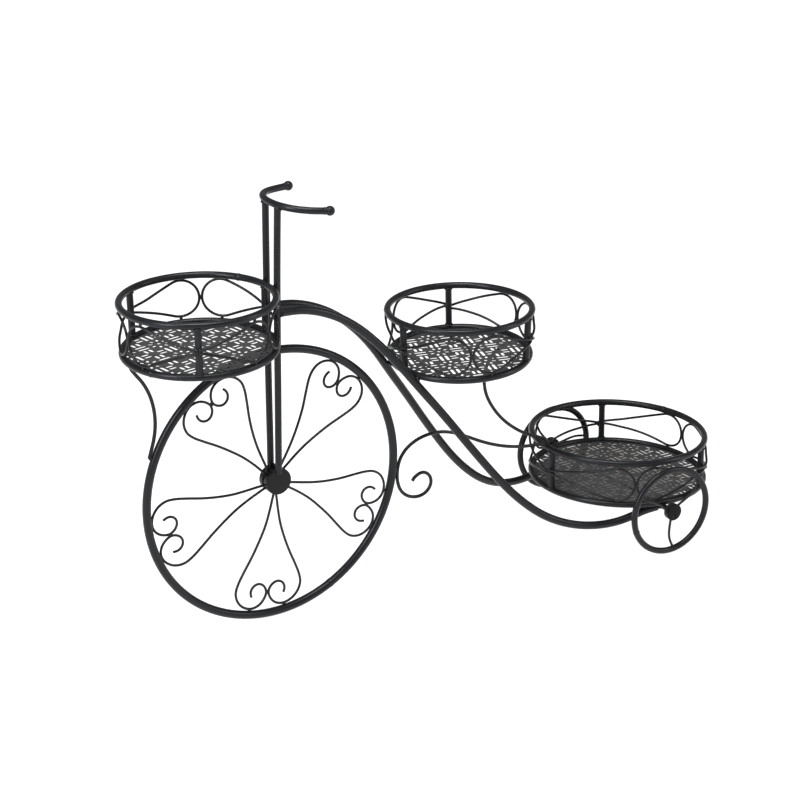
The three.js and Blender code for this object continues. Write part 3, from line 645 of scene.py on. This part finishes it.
wheel_welds = Shape()
for i, deg in enumerate(HEART_ANGLES):
    d = np.array([math.cos(rad(deg)), 0, math.sin(rad(deg))])
    w = np.array([-d[2], 0, d[0]])
    heart = Shape()
    lines = heart_lines(i)
    for side, points in zip((1, -1), lines):
        line = spline(points, 1.0, 1.6)
        root = line[0] + unit(np.array([HUB[0], 0, HUB[1]]) - line[0]) * 1.8
        line = even(np.vstack([root, line]), 1.0)
        tube(heart, line[: -(2, 2, 1, 1, 1)[i]], WIRE_SHOWN, 14)
        # where the wire's outermost turn meets the rim
        far = line - np.array([0, 0, HUB_Z])
        k = int(np.argmax(np.hypot(far[:, 0], far[:, 2])))
        outward = unit(far[k])
        bead(wheel_welds, far[k] + np.array([0, 0, HUB_Z]) + outward * 1.3, (2.0, 1.7, 2.6), np.array([outward, Y, np.cross(outward, Y)]), seed=i * 2.1 + side)
        bead(wheel_welds, line[1], (1.9, 1.8, 2.1), np.array([d, Y, w]), seed=i * 3.7 + side)
    place(f"front_wheel_heart_{i + 1}_wire", heart, WIRE_PAINT, nodes=[f"front_wheel_heart_{i + 1}"])
    p, q = lines[0][15], lines[1][15]
    bead(wheel_welds, (p + q) / 2, (3.2, 1.5, max(1.3, np.linalg.norm(p - q) / 2 - 0.9)), np.array([d, Y, w]), seed=i * 1.9)

place(
    "front_hub_drum_core",
    turned(Shape(), (HUB[0], 0, HUB[1]), Y, rounded([(0, -DISC_IN - 0.5), (CORE_R, -DISC_IN - 0.5), (CORE_R, DISC_IN + 0.5), (0, DISC_IN + 0.5)], 0.4), 72),
    TUBE_PAINT, nodes=["front_hub_drum"],
)
# the hub discs wear the darker coat, which paints shade on their faces
for name, side in (("left", -1), ("right", 1)):
    place(
        f"front_hub_disc_{name}_plate",
        turned(Shape(), (HUB[0], 0, HUB[1]), side * Y,
               rounded([(0, DISC_IN), (DISC_R + 0.8, DISC_IN), (DISC_R + 0.8, DISC_OUT + 0.3), (0, DISC_OUT + 0.3)], 1.3, 6), 96),
        DISC_PAINT_SHADED, nodes=[f"front_hub_disc_{name}"],
    )
bead(wheel_welds, (-9.4, 0, 203.4), (3.0, 1.9, 2.2), seed=37, lumps=0.2)
place("front_wheel_welds", wheel_welds, WELD_PAINT)

# ================================================================ fork and handlebar
frame_welds = Shape()
for name, side in (("left", -1), ("right", 1)):
    line = spline([(x, side * y, z) for x, y, z in FORK], 2.0, 8.0)
    top = 11.4 if side < 0 else 9.8
    line = np.vstack([[2.2, side * 10.2, 203.0], line, [top, side * 15.1, 554.6]])
    place(f"fork_tube_{name}_tube", tube(Shape(), even(line, 2.0), TUBE_SHOWN, 20), TUBE_PAINT, nodes=[f"fork_tube_{name}"])
    # round the fork's foot on the hub disc, and at its top under the handlebar
    bead(frame_welds, (2.2, side * 10.8, 203.2), (4.7, 3.6, 2.0), seed=11 + side, lumps=0.2)
    bead(frame_welds, (2.1, side * 9.0, 207.6), (5.2, 3.0, 2.0), seed=15 + side, lumps=0.2)
    height = 556.1 if side < 0 else 557.4
    fillet(frame_welds, (top + 0.2, side * 15.1, height), (0, 0, -1), (0.42, side * 0.9, 0), TUBE_SHOWN, TUBE_SHOWN, 1.15, seed=5 + side)

bar_line = [np.array(p, float) for p in BAR]
for end, knob in ((0, KNOBS[0]), (-1, KNOBS[1])):
    tip = np.array(knob) + unit(bar_line[end] - knob) * (KNOB_R - 1.5)
    bar_line.insert(0 if end == 0 else len(bar_line), tip)
place("handlebar_tube", tube(Shape(), spline(bar_line, 1.4, 2.0), TUBE_SHOWN, 20, ends=("open", "open")), TUBE_PAINT, nodes=["handlebar"])
for name, knob, inner in (("left", KNOBS[0], BAR[0]), ("right", KNOBS[1], BAR[-1])):
    axis = unit(np.array(knob) - np.array(inner))
    # a ball on a short neck
    profile = [(0, -8.3), (3.9, -8.3), (4.55, -7.8), (4.7, -6.6), (4.6, -5.4)]
    profile += [(KNOB_R * math.sin(t), -KNOB_R * math.cos(t)) for t in np.linspace(0.85, np.pi - 0.09, 24)] + [(0, KNOB_R)]
    place(f"handlebar_knob_{name}_ball", turned(Shape(), knob, axis, profile, 40), TUBE_PAINT, nodes=[f"handlebar_knob_{name}"])

# ================================================================ frame tubes
for name, side in (("left", -1), ("right", 1)):
    line = spline([(x, side * y, z) for x, y, z in FRAME], 2.2, 9.0)
    place(f"frame_tube_{name}_tube", tube(Shape(), line, FRAME_SHOWN, 22), TUBE_PAINT, nodes=[f"frame_tube_{name}"])
    # the frame's upper end on the fork
    bead(frame_welds, (9.9, side * 14.0, 419.3), (2.6, 4.8, 5.4), seed=21 + side, lumps=0.22)
    bead(frame_welds, (10.6, side * 14.2, 415.2), (2.2, 3.4, 2.6), seed=23 + side, lumps=0.2)
    # its lower end on the axle, under the rear basket
    bead(frame_welds, (536.2, side * 116.6, 63.2), (4.2, 5.4, 3.8), seed=25 + side, lumps=0.2)
    # the middle basket's ring on the frame
    bead(frame_welds, (196.8, side * 34.2, 295.6), (3.4, 4.0, 5.2), seed=27 + side, lumps=0.24)


# ================================================================ baskets
def leaning(b, top):
    lean = b["lt"] if top else b["lb"]
    return np.array([lean[0], lean[1], 1.0])


def ring_height(b, a, top):
    z, r, lean = (b["zt"], b["rt"], b["lt"]) if top else (b["zb"], b["rb"], b["lb"])
    return z - lean[0] * r * math.cos(a) - lean[1] * r * math.sin(a)


def ring_point(b, a, top):
    r = b["rt"] if top else b["rb"]
    return np.array([b["x"] + r * math.cos(a), r * math.sin(a), ring_height(b, a, top)])


# how many degrees each post is welded off its place
LEAN = {"front_basket": (0, 1.0, 0), "middle_basket": (-0.5, 0, 0), "rear_basket": (-1.0, 0, 0)}


def basket(b, seam_top, seam_bottom, seed):
    name = b["name"]
    welds = Shape()
    for top, seam in ((True, seam_top), (False, seam_bottom)):
        word = "top" if top else "bottom"
        place(
            f"{name}_{word}_ring_tube",
            ring(Shape(), (b["x"], 0, b["zt"] if top else b["zb"]), leaning(b, top), b["rt"] if top else b["rb"], TUBE_SHOWN, 220, 22,
                 seam=seam, seed=seed + (0 if top else 5), zero=(1, 0, 0)),
            TUBE_PAINT, nodes=[f"{name}_{word}_ring"],
        )
    for i, deg in enumerate(b["posts"]):
        a = rad(deg + LEAN[name][i])
        lo, hi = ring_point(b, a, False), ring_point(b, a, True)
        d = unit(hi - lo)
        line = even(np.array([lo + d * 2.6, hi - d * 2.6]), 3.0)
        place(f"{name}_post_{i + 1}_tube", tube(Shape(), line, TUBE_SHOWN, 20, ends=("open", "open")), TUBE_PAINT, nodes=[f"{name}_post_{i + 1}"])
        along = np.array([-math.sin(a), math.cos(a), 0])
        fillet(welds, lo, d, along, TUBE_SHOWN, TUBE_SHOWN, 1.05, seed=seed + i)
        fillet(welds, hi, -d, along, TUBE_SHOWN, TUBE_SHOWN, 1.05, seed=seed + i + 9)

    for i, deg in enumerate(b["posts"]):
        mid = rad(deg + 60)
        r0 = (b["rt"] + b["rb"]) / 2
        span = r0 * rad(60)

        def butts(side):
            return ((i + 1) % 3 if side > 0 else i) == b["butt"]

        def on_ring(side, u, v, proud=0.0):
            a = mid + side * u / r0
            k = 0.0
            if not butts(side):
                t = min(1.0, max(0.0, (u - span + 34) / 28))
                k = t * t * (3 - 2 * t)
            zt, zb = ring_height(b, a, True), ring_height(b, a, False)
            t = 0.5 + v / (zt - zb)
            r = b["rb"] + (b["rt"] - b["rb"]) * t + b["out"] + k * (TUBE + WIRE + GAP - b["out"]) + proud
            return np.array([b["x"] + r * math.cos(a), r * math.sin(a), (zt + zb) / 2 + v])

        wires = Shape()
        inner = []
        for side, (shift, raised, larger, tip_v, bulge_up, bulge_low) in zip((1, -1), b["drops"][i]):
            a = mid + side * 26 / r0
            room = ring_height(b, a, True) - ring_height(b, a, False)
            R = min(b["circle"], (room - 2 * TUBE) / 2 - WIRE - 0.7)
            cu = R + WIRE - 0.15 + shift
            R += larger
            inner.append(on_ring(side, cu - R, raised))
            end, spread = span - (4.9 if butts(side) else 1.1), 1.0
            tangent = math.acos((R - spread) / (end - cu))
            tu, tv = cu + R * math.cos(tangent), R * math.sin(tangent)
            upper, lower = [], []
            for k in np.linspace(0, 1, 40, endpoint=False):
                middle = tip_v + (raised - tip_v) * k
                apart = spread + (tv - spread) * k
                upper.append((end + (tu - end) * k, middle + apart + bulge_up * math.sin(math.pi * k)))
                lower.append((end + (tu - end) * k, middle - apart - bulge_low * math.sin(math.pi * k)))
            arc = [(cu + R * math.cos(t), raised + R * math.sin(t)) for t in np.linspace(tangent, 2 * math.pi - tangent, 90)]
            line = np.array([on_ring(side, u, v) for u, v in upper + arc + lower[::-1]])
            tube(wires, even(line, 1.0, 2.0), WIRE_SHOWN, 14)
            # short stubs of weld from the round's top and bottom to the rings
            for sign in (1, -1):
                a = mid + side * cu / r0
                wire_at = on_ring(side, cu, raised + sign * R)
                ring_at = ring_point(b, a, sign > 0)
                outward = np.array([math.cos(a), math.sin(a), 0])
                edge = ring_at + outward * 1.6 - np.array([0, 0, sign * (TUBE - 0.9)])
                axis = unit(edge - wire_at)
                x, y, z = basis(axis)
                bead(welds, (wire_at + edge) / 2, (1.9, 2.0, np.linalg.norm(edge - wire_at) / 2 + 1.3), np.array([x, y, z]), seed=seed + i * 3 + side + sign, lumps=0.22)
            # the wire's end on the post
            post = (i + 1) % 3 if side > 0 else i
            pa = rad(b["posts"][post])
            tip = on_ring(side, end, tip_v)
            outward = np.array([math.cos(pa), math.sin(pa), 0])
            along = np.array([-math.sin(pa), math.cos(pa), 0]) * side
            if butts(side):
                bead(welds, tip + along * 0.6, (2.0, 1.8, 4.2), np.array([outward, along, [0, 0, 1]]), seed=seed + i + 31, lumps=0.2)
            else:
                bead(welds, tip - outward * 1.3 - along * 0.6, (2.3, 2.2, 4.4), np.array([outward, along, [0, 0, 1]]), seed=seed + i + 31 + side, lumps=0.2)
        kiss = (inner[0] + inner[1]) / 2
        outward = np.array([math.cos(mid), math.sin(mid), 0])
        along = np.array([-math.sin(mid), math.cos(mid), 0])
        bead(welds, kiss, (1.5, 1.7, 3.0), np.array([outward, along, [0, 0, 1]]), seed=seed + i + 47, lumps=0.2)
        place(f"{name}_scroll_pair_{i + 1}_wire", wires, WIRE_PAINT, nodes=[f"{name}_scroll_pair_{i + 1}"])
    return welds


# Punched pattern: a square net with a rosette at each knot, long pairs of slots on the sides of
# each square, and short pairs across their ends.
def slots(pitch_x, pitch_y, start):
    """(x, y, length, width, direction in radians) of each hole near the middle."""
    a1, a2, o = (np.array(v, float) for v in (pitch_x, pitch_y, start))
    u1, u2 = unit(a1), unit(a2)
    d1, d2 = math.atan2(u1[1], u1[0]), math.atan2(u2[1], u2[0])
    found = []
    for i in range(-5, 6):
        for j in range(-5, 6):
            k = o + i * a1 + j * a2
            found.append((k, 4.8, 4.8, 0.0))
            for q in range(8):
                a = rad(22.5 + 45 * q)
                v = u1 * math.cos(a) + u2 * math.sin(a)
                found.append((k + v * 10.6, 6.4, 3.4, math.atan2(v[1], v[0])))
            for mid, u, w, d, e in ((k + a1 / 2, u1, u2, d1, d2), (k + a2 / 2, u2, u1, d2, d1)):
                for s in (-1, 1):
                    found.append((mid + w * 3.8 * s, 16.6, 4.0, d))
                    for side in (-1, 1):
                        found.append((mid + w * 13.4 * side + u * 3.6 * s, 10.4, 3.9, e))
    return found


def stadium(centre, length, width, direction, grow, steps=6):
    r = width / 2 + grow
    h = max(length - width, 0.0) / 2
    d = np.array([math.cos(direction), math.sin(direction)])
    w = np.array([-d[1], d[0]])
    out = []
    for sign in (1, -1):
        for t in np.linspace(-np.pi / 2, np.pi / 2, steps):
            out.append(centre + d * (sign * h + sign * r * math.cos(t)) + w * sign * r * math.sin(t))
    return np.array(out)


def tray(b, pattern):
    name = b["name"]
    R = b["rb"] - TUBE + 0.35
    bottom, top = TRAY_TOP - TRAY_T, TRAY_TOP
    z = unit(leaning(b, False))
    turn = Vector((0, 0, 1)).rotation_difference(Vector(z)).to_matrix()
    turn = np.array(turn)
    centre = np.array([b["x"], 0, b["zb"]])

    def lay(xy, h):
        xy = np.asarray(xy, float).reshape(-1, 2)
        return np.column_stack([xy, np.full(len(xy), h)]) @ turn.T + centre

    plate = Shape()
    a = np.arange(160) / 160 * 2 * np.pi
    circle = np.column_stack([np.cos(a), np.sin(a)])
    levels = [(R - 0.25, top), (R, top - 0.25), (R, bottom + 0.25), (R - 0.25, bottom)]
    points = np.vstack([lay(circle * q, h) for q, h in levels])
    n = len(a)
    i, j = np.meshgrid(np.arange(3), np.arange(n), indexing="ij")
    k = (j + 1) % n
    quads = np.stack([i * n + j, (i + 1) * n + j, (i + 1) * n + k, i * n + k], -1).reshape(-1, 4)
    points = np.vstack([points, lay([(0, 0)], top), lay([(0, 0)], bottom)])
    tris = [[4 * n, t, (t + 1) % n] for t in range(n)] + [[4 * n + 1, 3 * n + (t + 1) % n, 3 * n + t] for t in range(n)]
    plate.add(points, quads, tris)

    cutters = Shape()
    for c, length, width, direction in slots(*pattern):
        if np.linalg.norm(c) > R - 0.5:
            continue
        rings = [lay(stadium(c, length, width, direction, g), h) for g, h in
                 ((0.45, top + 0.3), (0.0, top - 0.15), (0.0, bottom + 0.15), (0.45, bottom - 0.3))]
        m = len(rings[0])
        i, j = np.meshgrid(np.arange(3), np.arange(m), indexing="ij")
        k = (j + 1) % m
        quads = np.stack([i * m + j, (i + 1) * m + j, (i + 1) * m + k, i * m + k], -1).reshape(-1, 4)
        pts = np.vstack(rings + [lay([c], top + 0.3), lay([c], bottom - 0.3)])
        tris = [[4 * m, t, (t + 1) % m] for t in range(m)] + [[4 * m + 1, 3 * m + (t + 1) % m, 3 * m + t] for t in range(m)]
        cutters.add(pts, quads, tris)

    body = bpy.data.objects.new("plate", plate.mesh("plate", smooth=False))
    tool = bpy.data.objects.new("cutters", cutters.mesh("cutters", smooth=False))
    for o in (body, tool):
        bpy.context.scene.collection.objects.link(o)
    cut = body.modifiers.new("cut", "BOOLEAN")
    cut.operation, cut.solver, cut.object = "DIFFERENCE", "MANIFOLD", tool
    bpy.context.view_layer.update()
    me = bpy.data.meshes.new_from_object(body.evaluated_get(bpy.context.evaluated_depsgraph_get()))
    me.name = f"{name}_tray_sheet"
    me.materials.clear()
    for o in (body, tool):
        bpy.data.objects.remove(o)
    return place(f"{name}_tray_sheet", me, PLATE_PAINT, nodes=[f"{name}_tray"])


SEAMS = {"front_basket": (30, 205), "middle_basket": (150, 100), "rear_basket": (20, 250)}
PATTERNS = {
    "front_basket": ((49.19, 6.91), (8.5, -49.03), (-33.19, 44.82)),
    "middle_basket": ((46.44, -14.37), (-12.18, -45.43), (-19.08, 21.3)),
    "rear_basket": ((48.78, 1.62), (2.23, -49.61), (27.17, 64.81)),
}
for n, b in enumerate(BASKETS):
    welds = basket(b, *SEAMS[b["name"]], seed=n * 17.0)
    tray(b, PATTERNS[b["name"]])
    # tacks of weld that hold the sheet in its ring
    for k in range(5):
        a = rad(36 + 72 * k + n * 20)
        p = ring_point(b, a, False)
        inward = -np.array([math.cos(a), math.sin(a), 0])
        bead(welds, p + inward * (TUBE + 0.5) + np.array([0, 0, -1.6]), (2.2, 3.2, 1.3), np.array([inward, [-math.sin(a), math.cos(a), 0], [0, 0, 1]]), seed=n + k * 0.7, lumps=0.25)
    if b["name"] == "front_basket":
        for top in (True, False):
            for side in (-1, 1):
                z = ring_height(b, 0, top)
                x = 1.9 if top else 1.2
                bead(welds, (x, side * 12.9, z), (2.0, 3.0, 3.6), seed=61 + side + top, lumps=0.2)
    place(f"{b['name']}_welds", welds, WELD_PAINT)

# ================================================================ rods in the middle plane
for node, path, smooth in (("front_basket_brace", BRACE, 5.0), ("rear_scroll", SCROLL, 3.0), ("middle_basket_support", SUPPORT, 4.0)):
    line = spline([(x, 0, z) for x, z in path], 1.2, smooth)
    place(f"{node}_rod", tube(Shape(), line, ROD_SHOWN, 16), WIRE_PAINT, nodes=[node])
bead(frame_welds, (-189.4, 0, 382.6), (3.2, 2.8, 2.4), seed=71, lumps=0.2)
bead(frame_welds, (-170.6, 0, 260.2), (2.8, 2.6, 3.0), seed=72, lumps=0.2)
bead(frame_welds, (184.6, 0, 158.5), (1.6, 2.0, 5.0), seed=73, lumps=0.2)
bead(frame_welds, (376.0, 0, 300.0), (3.2, 2.4, 1.8), seed=74, lumps=0.2)
bead(frame_welds, (427.2, 0, 138.8), (3.6, 2.6, 2.2), seed=75, lumps=0.2)
bead(frame_welds, (429.4, 0, 140.8), (2.6, 2.4, 2.2), seed=76, lumps=0.2)
for side in (-1, 1):
    bead(frame_welds, (REAR_X, side * 120.2, 65.9), (4.2, 3.4, 1.6), seed=77 + side, lumps=0.2)
place("frame_welds", frame_welds, WELD_PAINT)

# ================================================================ rear axle and wheels
axle_half = [(0, 142.5), (AXLE_R, 142.5), (AXLE_R, 136.05), (SLEEVE_R, 136.05), (SLEEVE_R, 117.5), (AXLE_R, 117.5)]
profile = rounded([(r, -y) for r, y in axle_half] + [(r, y) for r, y in reversed(axle_half)], 0.5)
place("rear_axle_rod", turned(Shape(), (REAR_X, 0, REAR_Z), Y, profile, 56), TUBE_PAINT, nodes=["rear_axle"])


def drilled(shape, name, at, r, depth, axis):
    """The shape with a small round hole drilled into it."""
    x, y, z = basis(axis)
    a = np.arange(24) / 24 * 2 * np.pi
    circle = np.cos(a)[:, None] * x + np.sin(a)[:, None] * y
    at = np.asarray(at, float)
    levels = [(r + 0.5, -0.5), (r, 0.25), (r, depth)]
    pts = np.vstack([at + circle * q + z * h for q, h in levels] + [at - z * 0.5, at + z * (depth + 0.4)])
    i, j = np.meshgrid(np.arange(2), np.arange(24), indexing="ij")
    k = (j + 1) % 24
    quads = np.stack([i * 24 + j, i * 24 + k, (i + 1) * 24 + k, (i + 1) * 24 + j], -1).reshape(-1, 4)
    tris = [[72, (t + 1) % 24, t] for t in range(24)] + [[73, 48 + t, 48 + (t + 1) % 24] for t in range(24)]
    body = bpy.data.objects.new("body", shape.mesh("body"))
    tool = bpy.data.objects.new("drill", Shape().add(pts, quads, tris).mesh("drill", smooth=False))
    for o in (body, tool):
        bpy.context.scene.collection.objects.link(o)
    cut = body.modifiers.new("cut", "BOOLEAN")
    cut.operation, cut.solver, cut.object = "DIFFERENCE", "MANIFOLD", tool
    bpy.context.view_layer.update()
    me = bpy.data.meshes.new_from_object(body.evaluated_get(bpy.context.evaluated_depsgraph_get()))
    me.name = name
    me.materials.clear()
    for o in (body, tool):
        bpy.data.objects.remove(o)
    return me


# The left wheel's ring is welded on its spokes at a slight angle.
for word, side, ends, bow, skew in (("left", -1, (36, 156, 276), -10, rad(-3.0)), ("right", 1, (4.5, 124.5, 244.5), 7, 0.0)):
    name, body = f"rear_wheel_{word}", f"rear_wheel_{word}"
    centre = np.array([REAR_X, side * REAR_Y, REAR_Z])
    place(
        f"{name}_rim_tube",
        ring(Shape(), centre, (math.sin(skew), -math.cos(skew), 0), REAR_R, RIM_SHOWN, 180, 20, seam=200 if side < 0 else 80, seed=81 + side, zero=(1, 0, 0)),
        TUBE_PAINT, body, [f"{name}_rim"],
    )
    sleeve = [(BORE_R, 136.4), (HUB_DRUM_R + 0.7, 136.4), (HUB_DRUM_R + 0.7, 142.2), (BORE_R, 142.2)]
    loop = rounded([(BORE_R, 139.3)] + sleeve + [(BORE_R, 139.3)], 0.3)[:-1]
    place(f"{name}_hub_sleeve", turned(Shape(), (REAR_X, 0, REAR_Z), side * Y, loop, 64), TUBE_PAINT, body, [f"{name}_hub"])
    cap = rounded([(0, 142.35), (CAP_R + 0.6, 142.35), (CAP_R + 0.7, 142.5)], 0.1) + rounded([(CAP_R + 0.8, 142.7), (CAP_R + 0.8, 145.3), (0, 145.3)], 1.1)
    cap = turned(Shape(), (REAR_X, 0, REAR_Z), side * Y, cap, 72)
    if side < 0:
        cap = drilled(cap, f"{name}_cap_plate", (REAR_X, -145.3, REAR_Z - 2.0), 0.75, 1.6, Y)
    # the cap wears the darker coat, which paints shade on its face
    place(f"{name}_cap_plate", cap, CAP_PAINT_SHADED, "frame", [f"{name}_cap"])
    welds = Shape()
    for i, deg in enumerate(ends):
        pts = []
        for r, k in ((HUB_DRUM_R - 0.5, 0.85), (16, 0.95), (25, 1), (35, 0.9), (43, 0.62), (50, 0.27), (REAR_R - REAR_RIM_TUBE + 0.6, 0)):
            a = rad(deg + k * bow)
            y = SPOKE_Y + (REAR_Y - SPOKE_Y) * (r - HUB_DRUM_R) / (REAR_R - REAR_RIM_TUBE - HUB_DRUM_R)
            w = (r - HUB_DRUM_R) / (REAR_R - REAR_RIM_TUBE - HUB_DRUM_R) * math.sin(skew)
            pts.append((REAR_X + r * math.cos(a), side * y + r * math.cos(a) * w, REAR_Z + r * math.sin(a)))
        line = spline(pts, 0.9, 2.0)
        place(f"{name}_spoke_{i + 1}_wire", tube(Shape(), line, WIRE_SHOWN, 14, ends=("open", "open")), WIRE_PAINT, body, [f"{name}_spoke_{i + 1}"])
        d0, d1 = unit(line[0] - centre), unit(line[-1] - centre)
        for p, d, s in ((line[0] + d0 * 0.9, d0, 1.0), (line[-1] - d1 * 0.9, d1, 2.0)):
            x, y, z = basis(d)
            bead(welds, p, (2.1, 2.1, 1.5), np.array([x, y, z]), seed=91 + i * 2 + side + s, lumps=0.2)
    place(f"{name}_welds", welds, WELD_PAINT, body)

# ---------------------------------------------------------------- floor and light
floor_mesh = bpy.data.meshes.new("floor")
floor_mesh.from_pydata([(-14, -14, -0.0006), (14, -14, -0.0006), (14, 14, -0.0006), (-14, 14, -0.0006)], [], [(0, 1, 2, 3)])
floor = bpy.data.objects.new("floor", floor_mesh)
floor_mesh.materials.append(floor_material())
bpy.context.scene.collection.objects.link(floor)


def area(name, location, target, size, power, colour=(1, 1, 1)):
    light = bpy.data.lights.new(name, "AREA")
    light.shape, light.size, light.size_y = "RECTANGLE", size[0], size[1]
    light.energy, light.color = power, colour
    o = bpy.data.objects.new(name, light)
    o.location = location
    o.rotation_mode = "QUATERNION"
    o.rotation_quaternion = (Vector(target) - Vector(location)).to_track_quat("-Z", "Y")
    bpy.context.scene.collection.objects.link(o)
    return o


area("overhead", (-0.5, -0.5, 2.6), (0, 0, 0.2), (1.3, 1.3), 55, (0.96, 0.98, 1.0))
area("left_softbox", (-2.3, -0.6, 1.5), (0, 0, 0.25), (0.7, 1.5), 44, (0.91, 0.95, 1.0))
area("right_softbox", (1.9, -1.6, 1.3), (0, 0, 0.25), (0.5, 1.4), 18, (0.93, 0.96, 1.0))

world = bpy.data.worlds.new("studio")
bpy.context.scene.world = world
world.use_nodes = True
world.node_tree.nodes["Background"].inputs["Color"].default_value = (1.0, 1.0, 1.0, 1)
world.node_tree.nodes["Background"].inputs["Strength"].default_value = 0.28
bpy.context.scene.view_settings.view_transform = "Standard"
bpy.context.scene.view_settings.look = "None"
